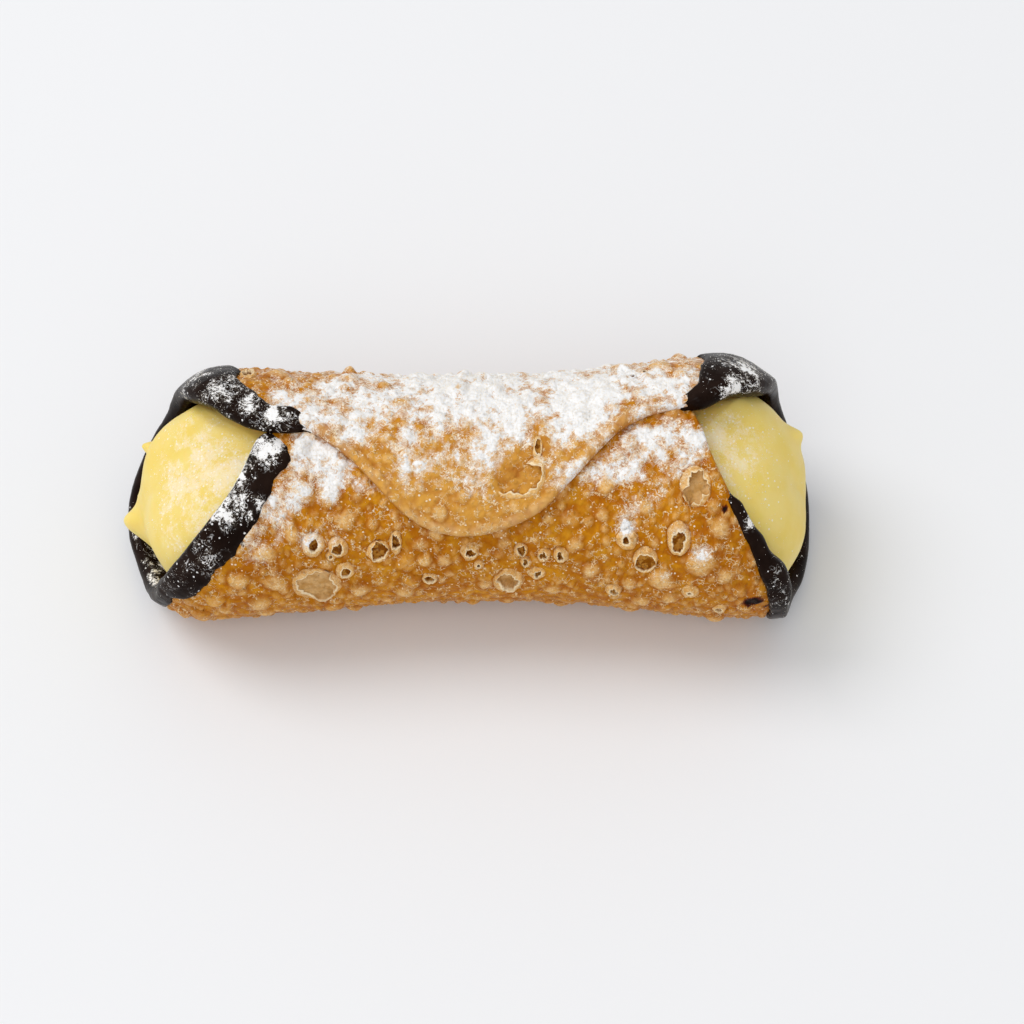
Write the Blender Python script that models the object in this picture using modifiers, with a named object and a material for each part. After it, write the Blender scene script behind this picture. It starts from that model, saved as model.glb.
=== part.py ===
"""A filled cannoli: a fried pastry sheet wrapped into a tube, its ends dipped in chocolate, and one run of
pastry cream that fills the tube and swells out of both ends.

The tube lies along X on the floor (Z = 0), with the pointed flap of the wrap on top and to the front (-Y).
A place on the pastry sheet has two coordinates: its turn, in degrees round the tube, and x along the tube.
Turn 0 is the bottom. Positive turns climb the back, cross the top at 180 and end at the flap's tip.
Negative turns climb the front and end under the flap.
"""

import bmesh
import bpy
import numpy as np

# Driving dimensions, in metres and degrees
PLY = 0.0019  # thickness of the fried sheet
BORE = 0.0166  # inner radius at the middle of the tube
LAP_GAP = 0.00035  # air between the two plies where they lap
LAP_RISE = (50.0, 120.0)  # turns over which the outer ply climbs onto the inner one
MIDDLE = np.array((0.00035, -0.0008, 0.0211))  # of the tube; the whole is then centred on the origin
AXIS_SLOPE = 0.010  # the axis climbs to the wider right end, so that both ends rest on the floor

FLARE_SPAN = (0.008, 0.046)  # the tube widens over this stretch, from its middle outwards
FLARE_LEFT = (0.0020, 0.0006)  # mean, and how much more at the lower front
FLARE_RIGHT = (0.0030, -0.0001)
CURL_LEFT = (0.0037, -0.0006)  # how far the rims roll back in, and how much more at the lower front
CURL_RIGHT = (0.0023, -0.0019)
LOWER_FRONT = -57.0  # the turn of the lower front
CURL_WIDTH = (0.0130, -0.0040)  # distance from the sheet's edge over which it rolls
CURL_SPAN = (0.042, 0.053)  # along the tube, so that the flap stays flat

SHELL_GRID = (28, 42)  # cells along the tube and round it
CROWDING = 1.25  # above 1, the cells are smaller near the rim
RIM_BEVEL = 0.0006

COAT = 0.0008  # thickness of the chocolate
COAT_GAP = 0.0004  # between the chocolate and the sheet
CAP_GAP = 0.0007  # between the chocolate and the sheet's cut edge
COAT_SECTIONS = 44
COAT_TAPER = 0.05  # share of the coat's length over which its ends thin out
INNER_LEG = 0.0036  # depth of the chocolate on the inside of the rim
LEG_START = 0.07  # share of the inner leg at which it is only a lip beyond the rim

CREAM_SEGMENTS = 28
CREAM_RINGS = 20
CREAM_BODY = 0.54  # share of the cream's rings that lie inside the tube
CREAM_CROWDING = 1.5  # above 1, those rings are closer together near the ends
CREAM_GAP = 0.0005  # between the cream and the sheet
PAST_COAT = (0.0018, 0.0100, 0.0065)  # the cream narrows by this, from one rim distance to the other
HIDDEN_PLY = ((172, 158), (0.042, 0.047))  # the cream widens where the hidden ply has ended
DOME_POWER = 2.4  # the higher, the flatter the domes' tops
PEAK_FADE = 0.9  # share of the way to the mouth past which peaks die out

TURN_STEP = 0.3  # half the spans over which the sheet's slope is measured
X_STEP = 0.0001
SHARE_STEP = 0.004
SMOOTH_ANGLE = 45
BEVEL_ANGLE = 60

# The sheet's cut edge as (turn, x), run once round: flap tip, left end, hidden tip, right end
EDGE = (
    (234, 0.0), (231, -0.0060), (223, -0.0106), (209, -0.0154), (196, -0.0198), (187.5, -0.0236),
    (181.8, -0.0266), (179.5, -0.0300), (178.8, -0.0342), (175.5, -0.0380), (166, -0.0424),
    (157, -0.0454), (147, -0.0474), (132, -0.0490), (112, -0.0508), (90, -0.0532), (70, -0.0562),
    (50, -0.0588), (30, -0.0605), (10, -0.0604), (-10, -0.0586), (-30, -0.0566), (-60, -0.0538),
    (-91.5, -0.0508), (-115, -0.0468), (-132, -0.0430), (-148, -0.0390), (-161, -0.0368),
    (-176, -0.0346), (-190, -0.0304), (-208, -0.0220), (-221, -0.0110), (-226, 0.0010),
    (-221, 0.0140), (-208, 0.0280), (-194, 0.0366), (-182, 0.0392), (-166, 0.0410),
    (-153, 0.0430), (-139, 0.0453), (-125, 0.0479), (-112, 0.0503), (-96, 0.0528), (-78, 0.0541),
    (-55, 0.0549), (-32, 0.0565), (-15, 0.0588), (5, 0.0601), (30, 0.0601), (50, 0.0586),
    (70, 0.0562), (92, 0.0540), (118, 0.0526), (138, 0.0509), (151, 0.0482), (160, 0.0449),
    (166.5, 0.0421), (170.5, 0.0394), (172.5, 0.0362), (174, 0.0328), (177, 0.0293), (184, 0.0252),
    (193, 0.0220), (207, 0.0174), (221, 0.0126), (230, 0.0066),
)  # fmt: skip

# Each coat as (turn, width on the outside, share of the inner leg), along the sheet's edge.
# The inner leg fades out where the other ply lies close beneath.
LEFT_COAT = (
    (180.8, 0.0015, 0.0), (179.5, 0.0024, 0.0), (175.5, 0.0042, 0.0), (170, 0.0048, LEG_START),
    (166, 0.0050, 0.3), (157, 0.0070, 1.0), (132, 0.0078, 1.0), (60, 0.0070, 1.0), (0, 0.0052, 1.0),
    (-60, 0.0038, 1.0), (-104, 0.0031, 1.0), (-114, 0.0034, 1.0), (-124, 0.0050, 1.0),
    (-161, 0.0053, 1.0), (-172, 0.0032, 1.0),
)  # fmt: skip
RIGHT_COAT = (
    (172.3, 0.0016, 0.0), (170.5, 0.0034, 0.0), (166.5, 0.0050, 0.0), (162, 0.0072, LEG_START),
    (157, 0.0088, 0.4), (149, 0.0102, 1.0), (120, 0.0108, 1.0), (60, 0.0075, 1.0), (0, 0.0050, 1.0),
    (-60, 0.0036, 1.0), (-102, 0.0021, 1.0), (-139, 0.0010, 1.0), (-147, 0.0008, 1.0),
)  # fmt: skip

# Where the cream leaves the tube, as (angle from the top towards the front, x)
LEFT_MOUTH = (
    (0, -0.0340), (30, -0.0380), (60, -0.0445), (90, -0.0495), (120, -0.0515), (150, -0.0530),
    (180, -0.0575), (210, -0.0585), (240, -0.0555), (270, -0.0515), (300, -0.0495), (330, -0.0450),
)  # fmt: skip
RIGHT_MOUTH = (
    (0, 0.0380), (30, 0.0415), (60, 0.0470), (90, 0.0515), (120, 0.0530), (150, 0.0555),
    (180, 0.0580), (210, 0.0580), (240, 0.0555), (270, 0.0530), (300, 0.0515), (330, 0.0465),
)  # fmt: skip
# Each dome's middle, how far it swells and in what direction
LEFT_DOME = ((-0.0485, 0.0, -0.0010), 0.0075, (-0.88, -0.05, 0.46))
RIGHT_DOME = ((0.0490, 0.0, -0.0010), 0.0090, (0.88, -0.05, 0.46))
# Peaks that the piping nozzle pulled, as (angle, share of the way to the rim, height, spread)
LEFT_PEAKS = ((186, 0.88, 0.0036, 0.18), (242, 0.82, 0.0024, 0.14))
RIGHT_PEAKS = ((285, 0.60, 0.0020, 0.16),)


def ramp(low, high, value):
    """A smooth step from 0 at low to 1 at high."""
    t = np.clip((value - low) / (high - low), 0, 1)
    return t * t * (3 - 2 * t)


def spline(points, samples):
    """A closed Catmull-Rom curve through points, with samples on each stretch."""
    knots = np.array(points, float)
    t = np.linspace(0, 1, samples, endpoint=False)[:, None]
    before, start, end, after = (np.roll(knots, shift, axis=0) for shift in (1, 0, -1, -2))
    stretches = []
    for p0, p1, p2, p3 in zip(before, start, end, after):
        rise = (p2 - p0) * t
        bend = (2 * p0 - 5 * p1 + 4 * p2 - p3) * t**2
        twist = (3 * p1 - p0 - 3 * p2 + p3) * t**3
        stretches.append(p1 + (rise + bend + twist) / 2)
    return np.concatenate(stretches)


FLAT = np.array((np.radians(1) * (BORE + PLY), 1))  # (turn, x) to metres on the flat sheet


def even_edge(samples=720):
    """The sheet's edge as points in (turn, x), evenly spaced along its length."""
    curve = spline(EDGE, 24)
    curve = np.vstack([curve, curve[:1]])
    steps = np.linalg.norm(np.diff(curve * FLAT, axis=0), axis=1)
    along = np.concatenate([[0], np.cumsum(steps)])
    even = np.linspace(0, along[-1], samples + 1)[:-1]
    return np.stack([np.interp(even, along, curve[:, k]) for k in (0, 1)], axis=-1)


RIM = even_edge()


def rim_at(share):
    """The rim's (turn, x) at a share of the way round it, from the flap's tip."""
    place = (np.asarray(share) % 1) * len(RIM)
    low = np.floor(place).astype(int) % len(RIM)
    mix = (place - np.floor(place))[..., None]
    return RIM[low] * (1 - mix) + RIM[(low + 1) % len(RIM)] * mix


def rim_distance(turn, x):
    """Distance from the rim on the flat sheet, measured along the line to the sheet's middle."""
    bearing = np.arctan2(RIM[:, 1], RIM[:, 0] * FLAT[0])
    order = np.argsort(bearing)
    reach = np.linalg.norm(RIM * FLAT, axis=1)
    here = np.arctan2(x, turn * FLAT[0])
    return np.interp(here, bearing[order], reach[order], period=2 * np.pi) - np.hypot(turn * FLAT[0], x)


def bore_at(turn, x):
    """The tube's inner radius, without the outer ply's rise over the lap."""
    lean = np.cos(np.radians(turn - LOWER_FRONT))
    flare, curl, width = (
        np.where(x < 0, left[0] + left[1] * lean, right[0] + right[1] * lean)
        for left, right in ((FLARE_LEFT, FLARE_RIGHT), (CURL_LEFT, CURL_RIGHT), (CURL_WIDTH, CURL_WIDTH))
    )
    roll = np.clip(1 - rim_distance(turn, x) / width, 0, None) ** 2
    return BORE + flare * ramp(*FLARE_SPAN, np.abs(x)) - curl * roll * ramp(*CURL_SPAN, np.abs(x))


def round_axis(turn, x, radius):
    angle = np.radians(turn - 180)
    return MIDDLE + np.stack([x, -radius * np.sin(angle), AXIS_SLOPE * x + radius * np.cos(angle)], axis=-1)


def mid_sheet(turn, x):
    """Points on the middle of the sheet, which lies flat where it meets the floor."""
    lap = (PLY + LAP_GAP) * ramp(*LAP_RISE, turn)
    points = round_axis(turn, x, bore_at(turn, x) + PLY / 2 + lap)
    points[..., 2] = np.maximum(points[..., 2], PLY / 2)
    return points


def on_sheet(turn, x, height):
    """Points at a height above the middle of the sheet, square to it."""
    around = mid_sheet(turn + TURN_STEP, x) - mid_sheet(turn - TURN_STEP, x)
    along = mid_sheet(turn, x + X_STEP) - mid_sheet(turn, x - X_STEP)
    out = np.cross(around, along)
    out /= np.linalg.norm(out, axis=-1, keepdims=True)
    return mid_sheet(turn, x) + out * np.asarray(height)[..., None]


def add_piece(name, shape, material, collection):
    """Turns a bmesh into a smooth-shaded object."""
    bmesh.ops.recalc_face_normals(shape, faces=shape.faces)
    mesh = bpy.data.meshes.new(name)
    shape.to_mesh(mesh)
    shape.free()
    mesh.materials.append(material)
    mesh.shade_smooth()
    mesh.set_sharp_from_angle(angle=np.radians(SMOOTH_ANGLE))
    piece = bpy.data.objects.new(name, mesh)
    collection.objects.link(piece)
    return piece


def move_all(shape, points):
    for vertex, point in zip(shape.verts, points):
        vertex.co = point


def add_shell(material, collection):
    """A flat square grid, rounded to a disc, stretched to the cut sheet and wrapped into a tube."""
    shape = bmesh.new()
    bmesh.ops.create_grid(shape, x_segments=SHELL_GRID[0], y_segments=SHELL_GRID[1], size=1)
    square = np.array([vertex.co for vertex in shape.verts])
    u, v = (np.sign(square) * (1 - (1 - np.abs(square)) ** CROWDING)).T[:2]
    disc_x = u * np.sqrt(1 - v**2 / 2)
    disc_y = v * np.sqrt(1 - u**2 / 2)
    rim = rim_at(np.arctan2(-disc_x, disc_y) / (2 * np.pi))
    turn, x = (rim * np.hypot(disc_x, disc_y)[:, None]).T
    move_all(shape, mid_sheet(turn, x))
    shell = add_piece("shell", shape, material, collection)
    sheet = shell.modifiers.new("sheet", "SOLIDIFY")
    sheet.thickness = PLY
    sheet.offset = 0
    bevel = shell.modifiers.new("rounded rim", "BEVEL")
    bevel.width = RIM_BEVEL
    bevel.segments = 1
    bevel.limit_method = "ANGLE"
    bevel.angle_limit = np.radians(BEVEL_ANGLE)


def coat_section(width, leg, thickness):
    """A section through the chocolate, as (distance in from the rim, height above the sheet's middle)."""
    near = PLY / 2 + COAT_GAP
    far = near + thickness
    reach = COAT_GAP + thickness
    under = ramp(0, LEG_START, leg)
    low_far = -far * under - PLY / 2 * (1 - under)
    low_near = -near * under - (PLY / 2 - COAT_GAP) * (1 - under)
    depth = INNER_LEG * leg - 1.5 * CAP_GAP * (1 - leg)
    return np.array((
        (width, near),
        (width, near + thickness * 0.3),
        (width * 0.7, near + thickness * 0.75),
        (width * 0.35, far),
        (0.0002, far),
        (-reach * 0.7, far * 0.72),
        (-reach, far * 0.2),
        (-reach, low_far * 0.35),
        (-reach * 0.7, low_far * 0.8),
        (min(-CAP_GAP, depth * 0.5), low_far),
        (depth * 0.7, low_far),
        (depth, low_far * 0.55 + low_near * 0.45),
        (depth, low_near),
        (depth * 0.45, low_near),
        (-CAP_GAP, low_near),
        (-CAP_GAP, near),
        (width * 0.35, near),
        (width * 0.7, near),
    ))  # fmt: skip


# The section's points, grouped into cells that close its two ends
SECTION_CELLS = (
    (0, 1, 2, 17), (2, 3, 16, 17), (3, 4, 15, 16), (4, 5, 6, 15),
    (6, 7, 14, 15), (7, 8, 9, 14), (9, 10, 13, 14), (10, 11, 12, 13),
)  # fmt: skip


def share_at(turn, side):
    """How far round the rim this turn is reached, at the end of the tube on this side."""
    apart = np.abs(RIM[:, 0] - turn)
    return np.argmin(np.where(RIM[:, 1] * side > 0, apart, np.inf)) / len(RIM)


def add_coat(name, plan, side, material, collection):
    """Sweeps the chocolate's section along one end of the sheet, from the flap's side to the front."""
    turns, widths, legs = np.array(plan).T
    shape = bmesh.new()
    rings = []
    for step in np.linspace(0, 1, COAT_SECTIONS):
        share = (1 - step) * share_at(turns[0], side) + step * share_at(turns[-1], side)
        here = rim_at(share)
        ahead = (rim_at(share + SHARE_STEP) - rim_at(share - SHARE_STEP)) * FLAT
        inward = np.array((ahead[1], -ahead[0])) / np.linalg.norm(ahead)
        thickness = COAT * (0.4 + 0.6 * ramp(0, COAT_TAPER, min(step, 1 - step)))
        width, leg = (np.interp(-here[0], -turns, values) for values in (widths, legs))
        section = coat_section(width, leg, thickness)
        turn, x = ((here * FLAT + section[:, :1] * inward) / FLAT).T
        points = on_sheet(turn, x, section[:, 1])
        points[:, 2] = np.maximum(points[:, 2], 0)
        rings.append([shape.verts.new(point) for point in points])
    for ring, following in zip(rings, rings[1:]):
        for k in range(len(ring)):
            shape.faces.new((ring[k - 1], ring[k], following[k], following[k - 1]))
    for ring in (rings[0], rings[-1]):
        for corners in SECTION_CELLS:
            shape.faces.new([ring[k] for k in corners])
    add_piece(name, shape, material, collection)


def cream_radius(turn, x):
    """The cream's radius inside the tube. It narrows past the chocolate and widens past the hidden ply."""
    past_coat = PAST_COAT[0] * ramp(*PAST_COAT[1:], rim_distance(turn, x))
    turns, reach = HIDDEN_PLY
    room = (PLY + LAP_GAP) * ramp(*LAP_RISE, turn) * ramp(*turns, turn) * ramp(*reach, np.abs(x))
    return bore_at(turn, x) - CREAM_GAP - past_coat + room


def swell(share, angle, mouth, dome, peaks):
    """Points on a dome. Share is 0 at its middle and 1 where it leaves the tube."""
    middle, bulge, bulge_way = (np.array(value) for value in dome)
    height = bulge * (1 - share**DOME_POWER)
    for peak_angle, peak_share, peak_height, spread in peaks:
        apart = np.radians(angle - peak_angle)
        gap = np.sqrt(share**2 + peak_share**2 - 2 * share * peak_share * np.cos(apart))
        height = height + peak_height * np.exp(-((gap / spread) ** 2)) * ramp(1, PEAK_FADE, share)
    middle = middle + MIDDLE
    return middle + (mouth - middle) * share[:, None] + height[:, None] * bulge_way


def add_cream(material, collection):
    """A sphere whose middle rings run through the tube and whose end rings swell out of it."""
    shape = bmesh.new()
    bmesh.ops.create_uvsphere(shape, u_segments=CREAM_SEGMENTS, v_segments=CREAM_RINGS, radius=1)
    sphere = np.array([vertex.co for vertex in shape.verts])
    angle = np.degrees(np.arctan2(sphere[:, 1], sphere[:, 0]))
    turn = np.where(angle < 0, angle + 180, angle - 180)
    latitude = np.arcsin(np.clip(sphere[:, 2], -1, 1)) / (np.pi / 2)
    ends = [np.interp(angle, *np.array(mouth).T, period=360) for mouth in (LEFT_MOUTH, RIGHT_MOUTH)]
    inside = np.clip(np.abs(latitude) / CREAM_BODY, 0, 1)
    along = np.sign(latitude) * (1 - (1 - inside) ** CREAM_CROWDING)
    x = ends[0] * (1 - along) / 2 + ends[1] * (1 + along) / 2
    points = round_axis(turn, x, cream_radius(turn, x))
    points[:, 2] = np.maximum(points[:, 2], PLY + CREAM_GAP)
    share = (1 - np.abs(latitude)) / (1 - CREAM_BODY)
    for side, dome, peaks in ((-1, LEFT_DOME, LEFT_PEAKS), (1, RIGHT_DOME, RIGHT_PEAKS)):
        out = (share < 1) & (latitude * side > 0)
        points[out] = swell(share[out], angle[out], points[out], dome, peaks)
    move_all(shape, points)
    add_piece("cream", shape, material, collection)


def add_material(name, color, roughness):
    material = bpy.data.materials.new(name)
    material.use_nodes = True
    surface = material.node_tree.nodes["Principled BSDF"]
    surface.inputs["Base Color"].default_value = (*color, 1)
    surface.inputs["Roughness"].default_value = roughness
    return material


def main():
    for old in list(bpy.data.objects):
        bpy.data.objects.remove(old)
    cannoli = bpy.data.collections.new("cannoli")
    bpy.context.scene.collection.children.link(cannoli)
    crust = add_material("crust", (0.45, 0.19, 0.05), 0.6)
    cream = add_material("cream", (0.87, 0.68, 0.29), 0.45)
    chocolate = add_material("chocolate", (0.03, 0.013, 0.009), 0.35)
    add_shell(crust, cannoli)
    add_coat("chocolate_left", LEFT_COAT, -1, chocolate, cannoli)
    add_coat("chocolate_right", RIGHT_COAT, 1, chocolate, cannoli)
    add_cream(cream, cannoli)


main()
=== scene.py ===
"""The looks of a filled cannoli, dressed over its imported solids: blistered crust, chocolate rims, cream and sugar.

A place on the pastry sheet has two coordinates: its turn, in degrees round the tube, and x along the tube.
Turn 0 is the bottom. Positive turns climb the back, cross the top at 180 and end at the flap's tip.
Negative turns climb the front and end under the flap. These formulas repeat those of the solids.
"""

import bmesh
import bpy
import numpy as np
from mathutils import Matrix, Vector


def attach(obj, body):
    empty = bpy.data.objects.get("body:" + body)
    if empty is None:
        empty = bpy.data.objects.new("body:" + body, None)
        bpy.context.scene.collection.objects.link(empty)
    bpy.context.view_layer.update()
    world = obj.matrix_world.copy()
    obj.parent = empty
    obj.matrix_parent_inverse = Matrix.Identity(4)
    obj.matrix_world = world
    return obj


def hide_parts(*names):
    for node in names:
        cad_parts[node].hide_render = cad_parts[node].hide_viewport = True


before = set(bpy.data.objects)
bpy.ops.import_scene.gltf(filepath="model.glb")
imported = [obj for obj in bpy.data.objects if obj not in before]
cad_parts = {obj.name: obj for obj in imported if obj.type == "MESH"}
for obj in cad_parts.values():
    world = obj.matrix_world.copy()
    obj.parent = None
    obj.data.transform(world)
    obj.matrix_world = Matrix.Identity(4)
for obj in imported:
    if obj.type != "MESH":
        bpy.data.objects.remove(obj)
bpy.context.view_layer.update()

# ---------------------------------------------------------------- the solids' own shape (metres, degrees)
PLY = 0.0019
BORE = 0.0166
LAP_GAP = 0.00035
LAP_RISE = (50.0, 120.0)
MIDDLE = np.array((0.00035, -0.0008, 0.0211))
AXIS_SLOPE = 0.010
FLARE_SPAN = (0.008, 0.046)
FLARE_LEFT = (0.0020, 0.0006)
FLARE_RIGHT = (0.0030, -0.0001)
CURL_LEFT = (0.0037, -0.0006)
CURL_RIGHT = (0.0023, -0.0019)
LOWER_FRONT = -57.0
CURL_WIDTH = (0.0130, -0.0040)
CURL_SPAN = (0.042, 0.053)
COAT = 0.0008
COAT_GAP = 0.0004
INNER_LEG = 0.0036
PAST_COAT = (0.0018, 0.0100, 0.0065)
HIDDEN_PLY = ((172, 158), (0.042, 0.047))
CREAM_GAP = 0.0005
CREAM_BODY = 0.54
DOME_POWER = 2.4
PEAK_FADE = 0.9
EDGE = (
    (234, 0.0), (231, -0.0060), (223, -0.0106), (209, -0.0154), (196, -0.0198), (187.5, -0.0236),
    (181.8, -0.0266), (179.5, -0.0300), (178.8, -0.0342), (175.5, -0.0380), (166, -0.0424),
    (157, -0.0454), (147, -0.0474), (132, -0.0490), (112, -0.0508), (90, -0.0532), (70, -0.0562),
    (50, -0.0588), (30, -0.0605), (10, -0.0604), (-10, -0.0586), (-30, -0.0566), (-60, -0.0538),
    (-91.5, -0.0508), (-115, -0.0468), (-132, -0.0430), (-148, -0.0390), (-161, -0.0368),
    (-176, -0.0346), (-190, -0.0304), (-208, -0.0220), (-221, -0.0110), (-226, 0.0010),
    (-221, 0.0140), (-208, 0.0280), (-194, 0.0366), (-182, 0.0392), (-166, 0.0410),
    (-153, 0.0430), (-139, 0.0453), (-125, 0.0479), (-112, 0.0503), (-96, 0.0528), (-78, 0.0541),
    (-55, 0.0549), (-32, 0.0565), (-15, 0.0588), (5, 0.0601), (30, 0.0601), (50, 0.0586),
    (70, 0.0562), (92, 0.0540), (118, 0.0526), (138, 0.0509), (151, 0.0482), (160, 0.0449),
    (166.5, 0.0421), (170.5, 0.0394), (172.5, 0.0362), (174, 0.0328), (177, 0.0293), (184, 0.0252),
    (193, 0.0220), (207, 0.0174), (221, 0.0126), (230, 0.0066),
)  # fmt: skip
LEFT_MOUTH = (
    (0, -0.0340), (30, -0.0380), (60, -0.0445), (90, -0.0495), (120, -0.0515), (150, -0.0530),
    (180, -0.0575), (210, -0.0585), (240, -0.0555), (270, -0.0515), (300, -0.0495), (330, -0.0450),
)  # fmt: skip
RIGHT_MOUTH = (
    (0, 0.0380), (30, 0.0415), (60, 0.0470), (90, 0.0515), (120, 0.0530), (150, 0.0555),
    (180, 0.0580), (210, 0.0580), (240, 0.0555), (270, 0.0530), (300, 0.0515), (330, 0.0465),
)  # fmt: skip
LEFT_DOME = ((-0.0485, 0.0, -0.0010), 0.0075, (-0.88, -0.05, 0.46))
RIGHT_DOME = ((0.0490, 0.0, -0.0010), 0.0090, (0.88, -0.05, 0.46))
LEFT_PEAKS = (
    (186, 0.88, 0.0033, 0.18), (196, 0.84, 0.0009, 0.34), (256, 0.88, 0.0036, 0.11), (285, 0.78, 0.0012, 0.32),
    (330, 0.85, 0.0010, 0.25),
)  # fmt: skip
RIGHT_PEAKS = ((281, 0.62, 0.0018, 0.11),)

# ---------------------------------------------------------------- the crust's surface (millimetres on the sheet)
CRUST_CELLS = 285  # each way, a multiple of INNER_STEP
INNER_STEP = 3  # the hidden side of the sheet has cells this many times larger
EDGE_ROUND = 0.0008  # radius of the sheet's rounded edge
# Closed blisters as (turn, x, radius, height)
BLISTERS = (
    (-102, 33.0, 2.5, 1.01), (-113, 39.4, 2.7, 1.15), (-149, -28.3, 2.4, 1.01), (-130, -37.4, 2.0, 0.81),
    (-151, 23.5, 1.7, 0.81), (-109, -4.2, 1.4, 0.68), (-134, -20.8, 2.0, 0.68), (-146, -23.5, 2.0, 0.81),
    (-131, 42.4, 1.8, 0.68), (-106, 43.5, 1.7, 0.68), (-82, 29.6, 1.7, 0.81), (-88, 34.5, 1.6, 0.81),
    (-88, -18.8, 2.0, 0.81), (-84, -11.0, 2.0, 0.81), (-120, 18.2, 1.5, 0.54), (-104, 21.0, 1.8, 0.68),
    (-100, -33.0, 2.2, 0.81), (-118, -34.5, 1.9, 0.68), (-128, -30.0, 1.6, 0.61), (-84, -36.0, 2.2, 0.81),
    (128, -21.0, 1.3, 1.35), (136, 26.5, 2.2, 0.94), (142, 33.0, 2.2, 0.81), (133, -9.0, 2.0, 0.81),
    (140, -33.0, 2.4, 0.81), (-136, 22.6, 1.3, 0.54), (-134, 13.5, 1.2, 0.47), (-140, 30.0, 1.5, 0.54),
    (-90, 3.0, 1.5, 0.68), (-86, 14.5, 1.8, 0.81), (-97, 27.5, 1.5, 0.68), (-120, 6.0, 1.3, 0.47),
)  # fmt: skip
# Open blisters as (turn, x, radius, longer round the tube by, height, open share, depth, raggedness)
CRATERS = (
    (-121, -26.3, 1.75, 1.20, 0.60, 0.46, 0.9, 0.08), (-119, -22.1, 1.60, 1.10, 0.60, 0.56, 0.7, 0.12),
    (-104, -21.1, 1.50, 1.10, 0.45, 0.55, 0.5, 0.06), (-114, -23.4, 0.75, 1.10, 0.30, 0.40, 0.5, 0.10),
    (-116, -15.3, 1.85, 1.15, 0.55, 0.74, 0.8, 0.12), (-121, -12.3, 1.00, 2.20, 0.40, 0.60, 0.8, 0.18),
    (-115, 0.3, 1.50, 1.10, 0.45, 0.50, 0.7, 0.16), (-106, 1.8, 0.75, 1.10, 0.30, 0.40, 0.4, 0.08),
    (-96, -6.6, 1.35, 1.00, 0.45, 0.62, 0.9, 0.12), (141, -38.2, 1.50, 1.10, 0.50, 0.60, 0.8, 0.18),
    (-116, 9.0, 1.15, 1.10, 0.45, 0.66, 0.8, 0.16), (-108, 9.8, 0.90, 1.20, 0.35, 0.55, 0.7, 0.16),
    (-100, 11.8, 1.30, 1.10, 0.40, 0.45, 0.6, 0.20), (-113, 12.9, 1.10, 1.30, 0.50, 0.52, 0.9, 0.18),
    (-113, 15.8, 1.15, 1.30, 0.50, 0.52, 0.9, 0.18), (-90, 24.9, 1.40, 1.10, 0.50, 0.55, 0.9, 0.16),
    (-124, 26.9, 1.65, 1.10, 0.65, 0.36, 0.8, 0.08), (-113, 30.1, 2.05, 1.10, 0.60, 0.76, 0.8, 0.08),
    (-125, 35.6, 1.90, 1.45, 0.70, 0.58, 0.9, 0.12), (-94, 37.9, 1.40, 1.10, 0.50, 0.26, 0.6, 0.08),
    (150, 28.2, 0.70, 1.10, 0.20, 0.55, 0.7, 0.12), (146, 30.3, 0.60, 1.10, 0.20, 0.55, 0.7, 0.12),
    (191, 11.8, 0.75, 2.60, 0.10, 0.66, 0.7, 0.10), (-78, 43.2, 1.20, 1.40, 0.40, 0.50, 0.8, 0.14),
    (94, -31.0, 1.60, 1.10, 0.55, 0.55, 0.8, 0.12), (83, -26.5, 1.10, 1.20, 0.45, 0.50, 0.7, 0.16),
    (68, 12.0, 1.90, 1.15, 0.60, 0.66, 0.8, 0.10), (60, 16.6, 1.20, 1.10, 0.45, 0.55, 0.8, 0.16),
    (88, 33.5, 1.70, 1.20, 0.55, 0.60, 0.9, 0.12), (50, -9.0, 1.40, 1.10, 0.50, 0.55, 0.8, 0.14),
    (77, -4.0, 0.90, 1.20, 0.40, 0.60, 0.7, 0.12), (54, 38.0, 1.30, 1.10, 0.45, 0.50, 0.8, 0.16),
)  # fmt: skip
# Torn patches, where a wide blister has lost its roof: the same values
TEARS = (
    (-93, -26.4, 4.2, 1.10, 0.45, 0.80, 0.90, 0.11), (-93, 6.8, 2.55, 1.20, 0.60, 0.66, 0.80, 0.14),
    (-150, 38.4, 2.50, 1.15, 0.22, 0.78, 0.90, 0.17),
)  # fmt: skip
# The torn blister on the flap, whose wall stands only on the side towards the tip and the right
FLAP_TEAR = (203.5, 8.2, 5.0, 0.80, 0.38, 0.74, 0.90, 0.10)
BLISTER_TRIES = 9000
LARGE_SHARE = 0.18  # of the tries, which come first
SEED = 7


def ramp(low, high, value):
    """A smooth step from 0 at low to 1 at high."""
    t = np.clip((value - low) / (high - low), 0, 1)
    return t * t * (3 - 2 * t)


def spline(points, samples):
    """A closed Catmull-Rom curve through points, with samples on each stretch."""
    knots = np.array(points, float)
    t = np.linspace(0, 1, samples, endpoint=False)[:, None]
    before, start, end, after = (np.roll(knots, shift, axis=0) for shift in (1, 0, -1, -2))
    stretches = []
    for p0, p1, p2, p3 in zip(before, start, end, after):
        rise = (p2 - p0) * t
        bend = (2 * p0 - 5 * p1 + 4 * p2 - p3) * t**2
        twist = (3 * p1 - p0 - 3 * p2 + p3) * t**3
        stretches.append(p1 + (rise + bend + twist) / 2)
    return np.concatenate(stretches)


FLAT = np.array((np.radians(1) * (BORE + PLY), 1))  # (turn, x) to metres on the flat sheet


def even_edge(samples=720):
    """The sheet's edge as points in (turn, x), evenly spaced along its length."""
    curve = spline(EDGE, 24)
    curve = np.vstack([curve, curve[:1]])
    steps = np.linalg.norm(np.diff(curve * FLAT, axis=0), axis=1)
    along = np.concatenate([[0], np.cumsum(steps)])
    even = np.linspace(0, along[-1], samples + 1)[:-1]
    return np.stack([np.interp(even, along, curve[:, k]) for k in (0, 1)], axis=-1)


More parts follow.
